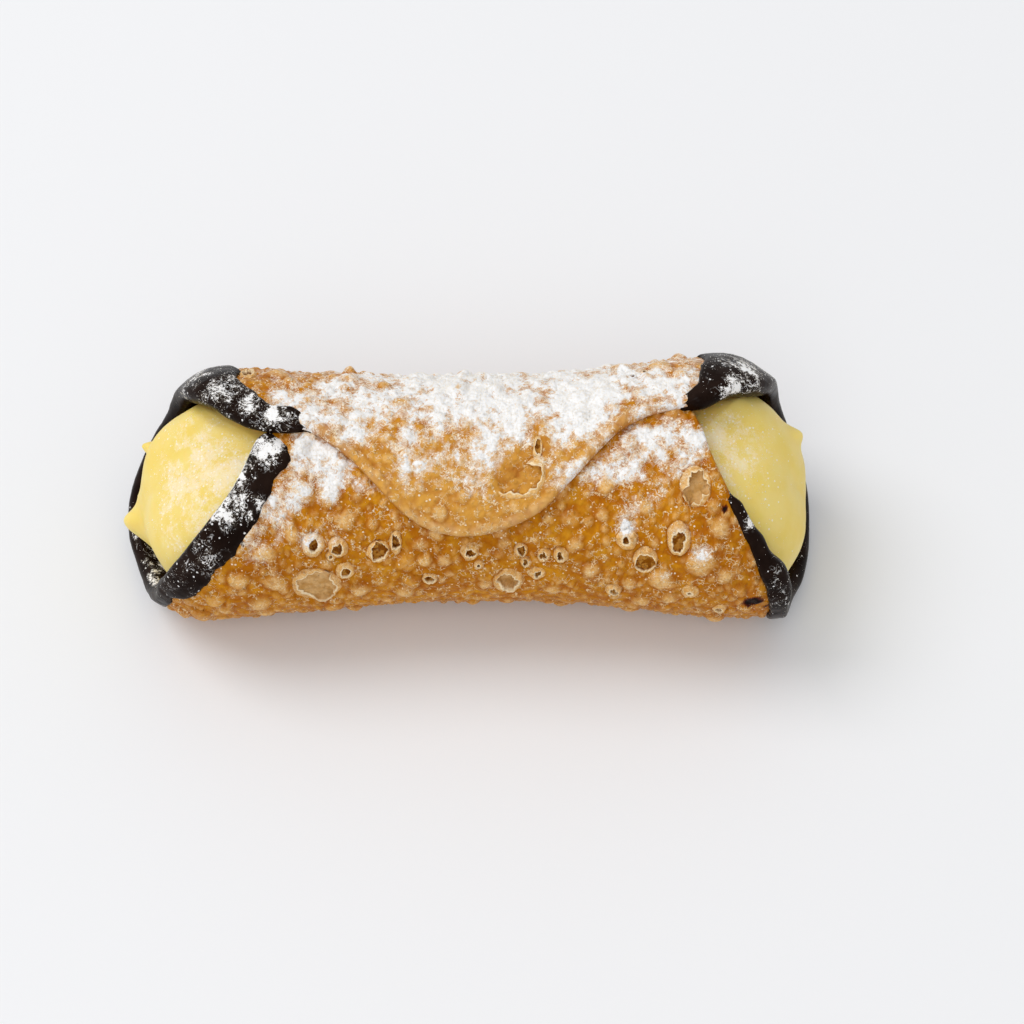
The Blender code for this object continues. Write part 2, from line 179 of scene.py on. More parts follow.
RIM = even_edge()
RIM_BEARING = np.arctan2(RIM[:, 1], RIM[:, 0] * FLAT[0])
RIM_ORDER = np.argsort(RIM_BEARING)
RIM_REACH = np.linalg.norm(RIM * FLAT, axis=1)


def rim_at(share):
    """The rim's (turn, x) at a share of the way round it, from the flap's tip."""
    place = (np.asarray(share) % 1) * len(RIM)
    low = np.floor(place).astype(int) % len(RIM)
    mix = (place - np.floor(place))[..., None]
    return RIM[low] * (1 - mix) + RIM[(low + 1) % len(RIM)] * mix


def rim_distance(turn, x):
    """Distance from the rim on the flat sheet, measured along the line to the sheet's middle."""
    here = np.arctan2(x, turn * FLAT[0])
    reach = np.interp(here, RIM_BEARING[RIM_ORDER], RIM_REACH[RIM_ORDER], period=2 * np.pi)
    return reach - np.hypot(turn * FLAT[0], x)


def bore_at(turn, x):
    """The tube's inner radius, without the outer ply's rise over the lap."""
    lean = np.cos(np.radians(turn - LOWER_FRONT))
    flare, curl, width = (
        np.where(x < 0, left[0] + left[1] * lean, right[0] + right[1] * lean)
        for left, right in ((FLARE_LEFT, FLARE_RIGHT), (CURL_LEFT, CURL_RIGHT), (CURL_WIDTH, CURL_WIDTH))
    )
    roll = np.clip(1 - rim_distance(turn, x) / width, 0, None) ** 2
    return BORE + flare * ramp(*FLARE_SPAN, np.abs(x)) - curl * roll * ramp(*CURL_SPAN, np.abs(x))


def round_axis(turn, x, radius):
    angle = np.radians(turn - 180)
    return MIDDLE + np.stack([x, -radius * np.sin(angle), AXIS_SLOPE * x + radius * np.cos(angle)], axis=-1)


def mid_sheet(turn, x):
    """Points on the middle of the sheet, which lies flat where it meets the floor."""
    lap = (PLY + LAP_GAP) * ramp(*LAP_RISE, turn)
    points = round_axis(turn, x, bore_at(turn, x) + PLY / 2 + lap)
    points[..., 2] = np.maximum(points[..., 2], PLY / 2)
    return points


def sheet_normal(turn, x):
    around = mid_sheet(turn + 0.3, x) - mid_sheet(turn - 0.3, x)
    along = mid_sheet(turn, x + 0.0001) - mid_sheet(turn, x - 0.0001)
    out = np.cross(around, along)
    return out / np.linalg.norm(out, axis=-1, keepdims=True)


def on_sheet(turn, x, height):
    """Points at a height above the middle of the sheet, square to it, and no lower than the floor."""
    points = mid_sheet(turn, x) + sheet_normal(turn, x) * np.asarray(height)[..., None]
    points[..., 2] = np.maximum(points[..., 2], 0)
    return points


# ---------------------------------------------------------------- noise and mesh helpers
def value_noise(points, cell, seed):
    """Smooth noise from -1 to 1, with features about one cell wide."""
    lattice = np.random.default_rng(seed).uniform(-1, 1, (32, 32, 32))
    place = np.asarray(points) / cell + 500
    low = np.floor(place).astype(int)
    part = place - low
    part = part * part * (3 - 2 * part)
    total = np.zeros(len(place))
    for corner in np.ndindex(2, 2, 2):
        weight = np.prod(np.where(corner, part, 1 - part), axis=1)
        i, j, k = ((low + corner) % 32).T
        total += weight * lattice[i, j, k]
    return total


def cloudy(points, cell, seed, layers=3):
    """Layers of noise, each half as wide and half as strong as the one before."""
    return sum(value_noise(points, cell / 2**n, seed + n) / 2**n for n in range(layers))


def make_piece(name, points, faces, material, attributes=None):
    """A smooth-shaded mesh that rides on the object's one body, with its normals facing out."""
    mesh = bpy.data.meshes.new(name)
    mesh.from_pydata(points.tolist(), [], faces)
    shape = bmesh.new()
    shape.from_mesh(mesh)
    bmesh.ops.recalc_face_normals(shape, faces=shape.faces)
    shape.to_mesh(mesh)
    shape.free()
    for key, values in (attributes or {}).items():
        mesh.attributes.new(key, "FLOAT", "POINT").data.foreach_set("value", values.astype(np.float32))
    mesh.shade_smooth()
    mesh.materials.append(material)
    piece = bpy.data.objects.new(name, mesh)
    bpy.context.scene.collection.objects.link(piece)
    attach(piece, "root")
    return piece


def grid_faces(rows, columns, start=0, closed=False):
    """Quads between neighbouring points of a grid. A closed one joins its last column to its first."""
    index = start + np.arange(rows * columns).reshape(rows, columns)
    if closed:
        index = np.hstack([index, index[:, :1]])
    corners = (index[:-1, :-1], index[:-1, 1:], index[1:, 1:], index[1:, :-1])
    return np.stack(corners, axis=-1).reshape(-1, 4).tolist()


# ---------------------------------------------------------------- relief of the crust
def scattered_blisters():
    """Random closed blisters that keep clear of the placed ones, as (turn, x, radius, height)."""
    random = np.random.default_rng(SEED)
    placed = [(t * FLAT[0] * 1000, x, r * 0.9) for t, x, r, _ in BLISTERS]
    placed += [(t * FLAT[0] * 1000, x, r * max(1, longer)) for t, x, r, longer, *_ in CRATERS + TEARS]
    kept = np.zeros((len(placed) + BLISTER_TRIES, 3))
    kept[: len(placed)] = placed
    count = len(placed)
    found = []
    for attempt in range(BLISTER_TRIES):
        turn = random.uniform(-215, 232)
        x = random.uniform(-60, 60)
        smooth = ramp(165, 195, turn)
        large = attempt < BLISTER_TRIES * LARGE_SHARE
        radius = random.uniform(0.45, 0.95) + large * 1.3 * random.random() ** 1.6
        radius *= 1 - 0.3 * smooth
        margin = (radius * 0.8 + 0.4 + 0.3 * smooth) / 1000
        if rim_distance(turn, x / 1000) < margin or random.random() < 0.15 * smooth:
            continue
        across = turn * FLAT[0] * 1000
        apart = np.hypot(across - kept[:count, 0], x - kept[:count, 1])
        if np.any(apart < 0.82 * (radius + kept[:count, 2])):
            continue
        kept[count] = (across, x, radius)
        count += 1
        found.append((turn, x, radius, radius * random.uniform(0.28, 0.68) * (1 - 0.30 * smooth)))
    return found


ALL_BLISTERS = list(BLISTERS) + scattered_blisters()


class Near:
    """Finds the points of a sheet that lie near a place."""

    def __init__(self, turn, x):
        self.across = turn * FLAT[0] * 1000
        self.x = x * 1000
        self.order = np.argsort(self.across)
        self.sorted = self.across[self.order]

    def find(self, turn, x, reach):
        middle = turn * FLAT[0] * 1000
        low, high = np.searchsorted(self.sorted, (middle - reach, middle + reach))
        index = self.order[low:high]
        index = index[np.abs(self.x[index] - x) < reach]
        return index, self.across[index] - middle, self.x[index] - x


def wobble(angle, place, strength, lobes=(2, 3, 5, 8)):
    """An uneven outline: 1 on average, with lobes that differ from place to place."""
    return 1 + strength * sum(np.sin(angle * n + place * (3.1 + n)) / n**0.5 for n in lobes)


def opening_share(angle, feature):
    """How far out a broken blister is open, as a share of its radius."""
    return feature[5] * wobble(angle, feature[0] + feature[1], 1.3 * feature[7], (2, 3, 5, 8, 13, 19))


def crust_relief(turn, x):
    """Height over the plain sheet in mm, and fields from 0 to 1: how much each point is blister (paler, partly painted
    highlight), foot (painted shade) or burn.
    """
    plain = mid_sheet(turn, x) * 1000
    smooth = ramp(165, 190, turn)
    height = (0.26 * cloudy(plain, 9, 11) + 0.14 * cloudy(plain, 3.2, 21)) * (1 - 0.5 * smooth)
    warped_turn = turn + 0.28 * cloudy(plain, 1.8, 31, 2) / (FLAT[0] * 1000)
    warped_x = x + 0.28 * cloudy(plain, 1.8, 34, 2) / 1000
    near = Near(warped_turn, warped_x)
    bump, blister, foot, burn = (np.zeros(len(turn)) for _ in range(4))
    for number, (place_turn, place_x, radius, tall) in enumerate(ALL_BLISTERS):
        pale = 1 if number < len(BLISTERS) else 0.25 + 0.75 * ((place_turn * 7.3 + place_x * 3.7) % 1)
        index, across, along = near.find(place_turn, place_x, radius * 1.5)
        ratio = np.hypot(across, along) / radius
        ratio = ratio / wobble(np.arctan2(across, along), place_turn + place_x, 0.10)
        dome = np.clip(1 - ratio**2, 0, 1) ** 0.7
        bump[index] = np.maximum(bump[index], tall * dome)
        blister[index] = np.maximum(blister[index], dome**2 * min(1, 0.4 + tall) * pale)
        # Painted shade: a darker ring round the foot of each blister.
        skirt = np.exp(-(((ratio - 1.05) / 0.22) ** 2)) * min(1, tall / 0.7)
        foot[index] = np.maximum(foot[index], skirt)
    height = height + bump
    for feature in CRATERS + TEARS:
        place_turn, place_x, radius, longer, tall, _, depth, _ = feature
        index, across, along = near.find(place_turn, place_x, radius * 1.5 * max(1, longer))
        ratio = np.hypot(across / longer, along) / radius
        sunk = 1 - ramp(0.80, 1.08, ratio)
        height[index] = height[index] * (1 - sunk) - (depth + 0.25) * sunk
        # Painted shade: a darker ring round the foot of each broken blister and torn patch.
        foot[index] = np.maximum(foot[index], 0.5 * np.exp(-(((ratio - 1.12) / 0.14) ** 2)))
    dent_turn, dent_x, dent_reach, longer = FLAP_TEAR[:4]
    index, across, along = near.find(dent_turn, dent_x, dent_reach * 1.6)
    ratio = np.hypot(across / longer, along) / dent_reach
    wall = ramp(-0.5, 0.3, (across + along) / dent_reach)
    dent = 1 - ramp(0.35 + 0.45 * wall, 1.15 - 0.14 * wall, ratio)
    blister[index] *= ramp(0.9, 1.1, ratio)
    # Painted shade inside the flap's dent, darkest by the wall that stands.
    foot[index] = np.maximum(foot[index] * ramp(0.9, 1.1, ratio), (0.35 + 0.45 * wall) * dent)
    clear = np.zeros(len(turn))
    clear[index] = dent
    height[index] = height[index] * (1 - dent) - (0.65 + 0.55 * wall) * dent
    for place_turn, place_x, radius, longer in BURNS:
        index, across, along = near.find(place_turn, place_x, radius * 2 * longer)
        ratio = np.hypot(across, along / longer) / radius
        burn[index] = np.maximum(burn[index], 1 - ramp(0.5, 1.3, ratio))
    return height, {"blister": blister, "foot": foot * (1 - blister), "burn": burn, "clear": clear}


BURNS = ((-86.5, 48.8, 1.0, 2.0), (-79, 51.2, 0.4, 1.2), (-124, -38.0, 0.5, 1.0), (-140, 43.0, 0.5, 1.0))

# Icing sugar on the sheet, as soft spots (turn, x, half its reach in turn, half its reach in x, strength)
SUGAR_SPOTS = (
    (146, 6, 36, 38, 0.88), (168, 2, 13, 30, 0.60), (128, 10, 16, 30, 0.45), (173, 5.5, 14, 5.5, 0.95),
    (160, 20, 16, 6.5, 0.95), (188, -10, 17, 2.0, 0.85), (183, -18.5, 6, 3, 0.80), (172, -26, 8, 4, 0.65),
    (184, 5, 8, 5, 0.80), (190, 16.5, 9, 2.4, 0.70), (184, 17, 6, 4, 0.55), (203, 16.5, 8, 2.4, 0.45),
    (208, 20.5, 8, 3, 0.42), (200, -7, 9, 3, 0.45), (191, 0, 12, 6, 0.28), (207, 1, 5, 2, 0.25),
    (-178, 32, 7, 6, 0.90), (-172, 38, 6, 3.5, 0.90), (-167, 37.5, 5, 2.5, 0.60), (-161, 25, 6, 3, 0.50),
    (-154, 21.5, 7, 2.6, 0.62), (-153, 26, 6, 3, 0.50), (-148, 30, 6, 4, 0.28), (-138, 28, 6, 4, 0.22),
    (-172, -27, 7, 4, 0.85), (-162, -29, 6, 4, 0.62), (-163, -23.5, 6, 3.5, 0.65), (-153, -23, 6, 2.8, 0.90),
    (-152, -18.5, 5, 2.6, 0.70), (-145, -27, 6, 5, 0.45), (-135, -32, 6, 3, 0.48), (-125, -28, 5, 3, 0.36),
    (-128, -34, 24, 6, 0.24), (-150, -28.3, 5, 1.8, 0.90), (-123, -26, 4, 2, 0.50), (-121, -22, 4, 2, 0.50),
    (-130, 26.9, 4, 1.5, 0.80), (-118, 39.4, 5, 2, 0.45), (-129, 36, 4, 2, 0.40), (-105, 33, 4, 2, 0.30),
    (-125, 0, 32, 46, 0.05), (160, -28, 8, 4, 0.50), (171, -19, 8, 5, 0.55), (171, -10, 7, 3, 0.60),
    (176, 31, 6, 5, 0.50), (-163, -19.5, 5, 2.5, 0.40), (-143, -30, 6, 4, 0.30), (160, 34, 12, 9, 0.45),
    (165, -23, 14, 9, 0.35), (-168, 33, 9, 7, 0.50), (-158, 32, 8, 6, 0.42), (208, 2, 14, 14, 0.17), (198, 2, 11, 15, 0.30), (-140, -28, 14, 9, 0.22),
    (-160, -22, 10, 8, 0.15), (165, 15, 14, 16, 0.35),
)  # fmt: skip


def sugar_level(density, place, seed):
    """How deep the sugar lies: from about 1 up it hides what's under it. It gathers in clumps."""
    clumps = 0.5 * cloudy(place, 4.5, seed) + 0.6 * cloudy(place, 1.5, seed + 5, 2)
    return np.clip(1.45 * density + 0.9 * clumps * ramp(0.0, 0.4, density), 0, 1.6)


def sugar_on_sheet(turn, x):
    """Density of the icing sugar on the sheet, from 0 to about 1."""
    density = np.zeros(len(turn))
    for place_turn, place_x, reach_turn, reach_x, strength in SUGAR_SPOTS:
        apart = ((turn - place_turn) / reach_turn) ** 2 + ((x * 1000 - place_x) / reach_x) ** 2
        density = 1 - (1 - density) * (1 - strength * np.exp(-apart * 1.2))
    return density


# ---------------------------------------------------------------- the crust
def sheet_places(places, inset):
    """A square grid, rounded to a disc and stretched to the cut sheet less an inset: (turn, x) and rim shares.

    The grid's corners, where its cells are thin, lie at the sheet's tips and under the chocolate.
    """
    u, v = (axis.ravel() for axis in np.meshgrid(places, places))
    one_way = u * np.sqrt(1 - v**2 / 2)
    other_way = v * np.sqrt(1 - u**2 / 2)
    disc_x = (one_way - other_way) / np.sqrt(2)
    disc_y = (one_way + other_way) / np.sqrt(2)
    share = np.arctan2(-disc_x, disc_y) / (2 * np.pi)
    rim = rim_at(share)
    reach = np.linalg.norm(rim * FLAT, axis=1)
    scale = np.hypot(disc_x, disc_y) * (1 - inset / reach)
    turn, x = (rim * scale[:, None]).T
    return turn, x, share


def border(rows, columns, start=0):
    """The points round the outside of a grid, in order."""
    index = start + np.arange(rows * columns).reshape(rows, columns)
    return np.concatenate([index[0, :-1], index[:-1, -1], index[-1, :0:-1], index[:0:-1, 0]])


def add_crust(material):
    """The blistered sheet: a fine outer face, a rounded edge and a coarser inner face, in one closed mesh."""
    places = np.linspace(-1, 1, CRUST_CELLS + 1)
    coarse = places[::INNER_STEP]
    turn, x, share = sheet_places(places, EDGE_ROUND)
    height, fields = crust_relief(turn, x)
    place = mid_sheet(turn, x) * 1000
    distance = rim_distance(turn, x) * 1000 + 0.25 * cloudy(place, 3.0, 51, 2)
    lip = ramp(2.1, 1.2, distance) * ramp(140, 170, turn) * ramp(36, 30, np.abs(x * 1000))
    lip = lip * (0.75 + 0.8 * cloudy(place, 1.6, 53, 2))
    sugar = sugar_level(sugar_on_sheet(turn, x), place, 61) * (1 - 0.8 * fields.pop("clear"))
    covered = ramp(0.5, -0.5, distance - coat_width(share) * 1000)
    height = np.minimum(height, height * (1 - covered))
    groove = np.exp(-(((distance - 2.4) / 0.35) ** 2)) * ramp(8, 14, np.abs(x * 1000)) * ramp(165, 175, turn)
    # Painted shade along the groove inside the flap's lip.
    fields["foot"] = np.maximum(fields["foot"], 0.7 * groove)
    height = height * ramp(-0.5, 1.0, distance) + 0.20 * lip - 0.20 * groove
    height = height + 0.20 * ramp(0.85, 1.3, sugar) * (1 + 0.5 * cloudy(place, 1.6, 57, 2))
    outer = on_sheet(turn, x, PLY / 2 + height / 1000)
    fields |= {"lip": 0.16 * lip, "sugar": sugar, "flap": ramp(165, 200, turn)}

    edge = border(len(places), len(places))
    rim = rim_at(share[edge])
    reach = np.linalg.norm(rim * FLAT, axis=1)[:, None]
    rings = []
    raise_edge = height[edge] / 1000
    rim_angles = np.radians((30, 60, 90, 120, 150, 180))
    for angle in rim_angles:
        ring_turn, ring_x = (rim * (1 - EDGE_ROUND * (1 - np.sin(angle)) / reach)).T
        fade = max(0, np.cos(angle))
        rings.append(on_sheet(ring_turn, ring_x, PLY / 2 * np.cos(angle) + raise_edge * fade))
    ring_fields = {key: np.tile(values[edge], len(rings)) for key, values in fields.items()}
    # Painted shade on the underside of the flap's rounded edge, where the lip's paleness is taken away.
    under = np.repeat(ramp(0.6, 1.6, rim_angles), len(edge)) * np.tile(ramp(165, 185, turn[edge]), len(rings))
    ring_fields["foot"] = np.maximum(ring_fields["foot"], under)
    ring_fields["lip"] = ring_fields["lip"] * (1 - under)

    inner_turn, inner_x, _ = sheet_places(coarse, 1.5 * EDGE_ROUND)
    inner = on_sheet(inner_turn, inner_x, np.full(len(inner_turn), -PLY / 2))
    bare = np.zeros(len(inner))

    ring_start = len(outer)
    inner_start = ring_start + len(edge) * len(rings)
    inner_edge = border(len(coarse), len(coarse), inner_start)
    faces = grid_faces(len(places), len(places))
    faces += grid_faces(len(rings), len(edge), ring_start, closed=True)
    first_ring = ring_start + np.arange(len(edge))
    last_ring = first_ring + len(edge) * (len(rings) - 1)
    for k in range(len(edge)):
        faces.append((edge[k - 1], edge[k], first_ring[k], first_ring[k - 1]))
    for k in range(len(inner_edge)):
        fine = [last_ring[(INNER_STEP * k + step) % len(edge)] for step in range(INNER_STEP + 1)]
        faces.append((*fine, inner_edge[(k + 1) % len(inner_edge)], inner_edge[k]))
    faces += grid_faces(len(coarse), len(coarse), inner_start)
    points = np.concatenate([outer, *rings, inner])
    fields = {key: np.concatenate([values, ring_fields[key], bare]) for key, values in fields.items()}
    crust = make_piece("crust", points, faces, material, fields)
    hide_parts("shell")
    return outer, grid_faces(len(places), len(places)), fields["sugar"][: len(outer)]


# The section of a broken blister: its underside as (share of the radius, depth in mm), its outer wall, lip and
# inner wall as (share of the way from the opening to the foot, share of the height), and its floor as (share of
# the opening, share of the depth)
CRATER_UNDERSIDE = ((0.25, -1.15), (0.90, -1.15), (1.22, -0.60))
CRATER_WALL = (
    (1.22, -0.35), (1.02, 0.04), (0.90, 0.36), (0.73, 0.66), (0.52, 0.86), (0.32, 0.96), (0.16, 1.0),
    (0.05, 1.02), (-0.02, 0.96), (-0.05, 0.78), (0.00, 0.40),
)  # fmt: skip
CRATER_FLOOR = ((1.0, 0.25), (0.95, 0.66), (0.82, 0.90), (0.55, 1.0), (0.28, 1.0))
LIP_WAY = 0.2  # the lip is the part of the wall closer to the opening than this
CRATER_SEGMENTS = 72


def crater_rings(feature, angle, stands):
    """The rings of one open blister, from its underside over its lip to its floor: (share, height, lip, floor).

    Stands is 1 where its wall stands up and 0 where it's sunk out of sight.
    """
    _, place_x, _, _, tall, _, depth, ragged = feature
    lean = np.cos(angle - place_x * 2.3)
    opening = opening_share(angle, feature) * (1 + 0.16 * lean)
    foot = wobble(angle, place_x, 0.05)
    scallop = wobble(angle, place_x * 1.7, 2.2 * ragged, (3, 5, 9, 14)) * (1 - 0.28 * lean)
    rings = [(foot * share, high, 0.0, 0.0) for share, high in CRATER_UNDERSIDE]
    for way, high in CRATER_WALL:
        uneven = scallop if high > 0.7 else 1
        rings.append((opening + (foot - opening) * way, tall * high * uneven, float(way < LIP_WAY), 0.0))
    for share, deep in CRATER_FLOOR:
        rough = 0.04 * np.sin(angle * 3 + place_x) + 0.03 * np.sin(angle * 7 + place_x)
        rings.append((opening * share, -depth * deep + rough, 0.0, share))
    low = -1.6 if feature is FLAP_TEAR else -depth
    return [
        (share, high * stands + (low if floor else -1.6) * (1 - stands), lip, floor)
        for share, high, lip, floor in rings
    ]


def add_open_blisters(material):
    """Thin-walled open blisters and torn patches, each a closed cup set into a pit in the crust."""
    angle = np.linspace(0, 2 * np.pi, CRATER_SEGMENTS, endpoint=False)
    points, faces, fields = [], [], {"blister": [], "pit": [], "hole": [], "lip": [], "sugar": [], "flap": []}
    count = 0
    for feature in CRATERS + TEARS + (FLAP_TEAR,):
        place_turn, place_x, radius, longer = feature[:4]
        stands = np.ones(CRATER_SEGMENTS)
        if feature is FLAP_TEAR:
            stands = ramp(-0.35, 0.25, np.cos(angle - np.pi / 4))
        if feature is TEARS[0]:
            stands = 0.5 + 0.5 * ramp(-0.9, -0.2, np.cos(angle - 0.7 * np.pi))
        rings = crater_rings(feature, angle, stands)
        for share, high, lip, floor in rings:
            turn = place_turn + share * radius * longer * np.cos(angle) / 1000 / FLAT[0]
            x = (place_x + share * radius * np.sin(angle)) / 1000
            places = mid_sheet(turn, x) * 1000
            points.append(on_sheet(turn, x, PLY / 2 + high / 1000))
            inside = float(floor > 0)
            torn = inside * (feature in TEARS)
            # Painted shade: a broken blister's floor is darkened as its hollow, and the flap's dent darkens towards
            # its rim.
            hole = 0.15 * inside + 0.65 * ramp(0.80, 1.0, floor) if feature is FLAP_TEAR else inside - torn
            fields["blister"].append(np.full(CRATER_SEGMENTS, 0.85 * (1 - inside)))
            fields["pit"].append(np.full(CRATER_SEGMENTS, torn))
            fields["hole"].append(np.full(CRATER_SEGMENTS, hole))
            fields["lip"].append(np.full(CRATER_SEGMENTS, lip))
            fields["sugar"].append(sugar_level(sugar_on_sheet(turn, x), places, 61) * (1 - 0.9 * inside))
            fields["flap"].append(ramp(165, 200, turn))
        faces += grid_faces(len(rings), CRATER_SEGMENTS, count, closed=True)
        for first in (count, count + CRATER_SEGMENTS * (len(rings) - 1)):
            faces.append(tuple(range(first, first + CRATER_SEGMENTS)))
        count += CRATER_SEGMENTS * len(rings)
    fields = {key: np.concatenate(values) for key, values in fields.items()}
    piece = make_piece("open_blisters", np.concatenate(points), faces, material, fields)


# ---------------------------------------------------------------- the chocolate
# Each coat as (turn, width on the outside, share of the inner leg), along the sheet's edge
LEFT_COAT = (
    (181.5, 0.0012, 0.0), (179.5, 0.0026, 0.0), (175.5, 0.0044, 0.0), (170, 0.0050, 0.07),
    (166, 0.0052, 0.3), (157, 0.0072, 1.0), (132, 0.0080, 1.0), (60, 0.0070, 1.0), (0, 0.0052, 1.0),
    (-60, 0.0014, 1.0), (-84, 0.0018, 1.0), (-91, 0.0034, 1.0), (-97, 0.0045, 1.0), (-114, 0.0046, 1.0), (-124, 0.0052, 1.0), (-150, 0.0049, 1.0),
    (-160, 0.0048, 1.0), (-168, 0.0064, 1.0), (-177, 0.0062, 1.0), (-184, 0.0040, 1.0),
)  # fmt: skip
RIGHT_COAT = (
    (172.5, 0.0010, 0.0), (170.0, 0.0030, 0.0), (166.0, 0.0056, 0.0), (162, 0.0076, 0.07),
    (157, 0.0090, 0.4), (149, 0.0102, 1.0), (120, 0.0110, 1.0), (60, 0.0077, 1.0), (0, 0.0048, 1.0),
    (-60, 0.0031, 1.0), (-102, 0.0019, 1.0), (-139, 0.0010, 1.0), (-150, 0.0007, 1.0),
)  # fmt: skip
COAT_STEPS = 420
COAT_TAPER = 0.03  # share of the coat's length over which its ends rise out of the crust
COAT_SUNK = 0.0006


def coat_profile(width, leg, thickness, bulge):
    """A section through the chocolate, as (distance in from the rim, height above the sheet's middle)."""
    top = PLY / 2 + thickness
    reach = thickness + 0.0002 + bulge
    under = ramp(0, 0.07, leg)
    low = top * under + (PLY / 2 + LAP_GAP) * (1 - under)
    depth = INNER_LEG * leg
    outer = [
        (width + 0.0001, PLY / 2 - 0.0003), (width + 0.0001, PLY / 2 + 0.15 * thickness),
        (width * 0.985, PLY / 2 + 0.45 * thickness), (width * 0.94, PLY / 2 + 0.72 * thickness),
        (width * 0.86, PLY / 2 + 0.90 * thickness), (width * 0.74, PLY / 2 + 0.98 * thickness),
        (width * 0.60, top), (width * 0.46, top), (width * 0.32, top), (width * 0.18, top), (width * 0.06, top),
    ]
    turn_over = [(-reach * np.sin(a), top * np.cos(a)) for a in np.radians((12, 26, 40, 54, 68, 82, 90))]
    turn_under = [(-reach * np.sin(a), -low * np.cos(a)) for a in np.radians((76, 60, 44, 28, 12))]
    inner = [(depth * s, -low) for s in (0.1, 0.3, 0.5, 0.7, 0.85)]
    inner += [(depth * 0.96, -low * 0.8 - PLY / 10), (depth, -PLY / 2 + 0.0003), (depth * 0.5, -PLY / 8)]
    return np.array(outer + turn_over + turn_under + inner + [(width * 0.5, PLY / 8)])


def share_at(turn, side):
    """How far round the rim this turn is reached, at the end of the tube on this side."""
    apart = np.abs(RIM[:, 0] - turn)
    return np.argmin(np.where(RIM[:, 1] * side > 0, apart, np.inf)) / len(RIM)


def coat_width(share):
    """How far in from the rim the chocolate reaches, where there is any."""
    width = np.zeros(len(share))
    for plan, side in ((LEFT_COAT, -1), (RIGHT_COAT, 1)):
        turns, widths, _ = np.array(plan).T
        shares = np.array([share_at(turn, side) for turn in turns])
        order = np.argsort(shares)
        width = np.maximum(width, np.interp(share % 1, shares[order], widths[order], 0, 0))
    return width


# Lumps that reach out past the rim, as (turn, spread in turn, reach in mm), for the left and the right end
BULGES = {-1: ((-80, 8, 0.5),), 1: ((-103, 9, 1.3), (-90, 7, 0.8), (-122, 5, 0.5))}
COAT_LUMPS = {
    "left": ((150, 0.0, 3.0, 0.25), (-140, 0.5, 3.0, 0.25), (-95, 0.0, 4.0, 0.20)),
    "right": ((-106, 0.0, 3.2, 0.75), (-88, 0.0, 3.0, 0.45), (150, 2.0, 4.0, 0.3), (-122, 0.0, 1.6, -0.15)),
}


def add_coat(name, plan, side, node, material):
    """Sweeps the chocolate along one end of the sheet, with lumps, drips and an uneven border."""
    turns, widths, legs = np.array(plan).T
    start, end = share_at(turns[0], side), share_at(turns[-1], side)
    seed = 40 + side
    rows_turn, rows_x, heights, sugar = [], [], [], []
    for step in np.linspace(0, 1, COAT_STEPS):
        share = (1 - step) * start + step * end
        here = rim_at(share)
        ahead = (rim_at(share + 0.004) - rim_at(share - 0.004)) * FLAT
        inward = np.array((ahead[1], -ahead[0])) / np.linalg.norm(ahead)
        width, leg = (np.interp(-here[0], -turns, values) for values in (widths, legs))
        along = np.array([[share * 330.0, 0.0, side * 50.0]])
        uneven = cloudy(along, 5.0, seed)[0] * 0.14 + cloudy(along, 1.3, seed + 9)[0] * 0.06
        taper = ramp(0, COAT_TAPER, min(step, 1 - step))
        thickness = COAT * taper - COAT_SUNK * (1 - taper)
        bulge = sum(tall * np.exp(-(((here[0] - place) / spread) ** 2)) for place, spread, tall in BULGES[side])
        section = coat_profile(width * (1 + uneven), leg, thickness, bulge / 1000)
        turn, x = ((here * FLAT + section[:, :1] * inward) / FLAT).T
        rows_turn.append(turn)
        rows_x.append(x)
        heights.append(section[:, 1])
    turn, x, height = (np.array(rows) for rows in (rows_turn, rows_x, heights))
    points = mid_sheet(turn, x)
    normal = sheet_normal(turn, x)
    flat_points = points.reshape(-1, 3) * 1000
    rough = 0.10 * cloudy(flat_points, 3.4, seed + 3) + 0.045 * cloudy(flat_points, 1.1, seed + 5)
    for lump_turn, lump_x, reach, tall in COAT_LUMPS["left" if side < 0 else "right"]:
        apart = np.hypot((turn.ravel() - lump_turn) * FLAT[0] * 1000, 0)
        rough += tall * np.exp(-((apart / reach) ** 2))
    out = np.sign(height) * np.clip(np.abs(height) / (PLY / 2), 0, 1)
    height = height + rough.reshape(height.shape) / 1000 * out
    points = points + normal * height[..., None]
    points[..., 2] = np.maximum(points[..., 2], 0)
    count = turn.shape[1]
    flat_points = points.reshape(-1, 3)
    faces = grid_faces(COAT_STEPS, count, closed=True)
    for first in (0, (COAT_STEPS - 1) * count):
        faces.append(tuple(first + k for k in range(count)))
    density = sugar_level(coat_sugar(turn.ravel(), x.ravel(), height.ravel(), side), flat_points * 1000, seed)
    coat = make_piece(name, flat_points, faces, material, {"sugar": density})
    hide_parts(node)
    return flat_points, grid_faces(COAT_STEPS, count, closed=True), density


COAT_SUGAR = (
    (-172, -36.5, 7, 4.5, 0.25), (-160, -38.5, 7, 3.5, 0.25), (-150, -40, 6, 3, 0.45), (-139, -42, 7, 3, 0.42),
    (158, -41, 14, 6, 0.34), (176, -33, 8, 4, 0.45), (168, -38, 6, 3, 0.45), (140, -46, 20, 5, 0.28),
    (-180, -34, 8, 4, 0.45), (-168, -35, 9, 4, 0.50), (-152, -39.5, 12, 2.6, 0.40), (-143, -36, 8, 2, 0.35),
    (-140, -40.5, 9, 3, 0.45), (-120, -45, 16, 6, 0.20), (-92, -50, 16, 6, 0.14),
    (162, 44, 9, 4, 0.36), (148, 46, 12, 4, 0.42), (130, 50, 16, 6, 0.18),
    (-150, 43, 8, 2, 0.45), (-134, 47, 5, 1.5, 0.52), (-104, 52, 16, 4, 0.14), (-84, 54, 12, 4, 0.12),
)  # fmt: skip


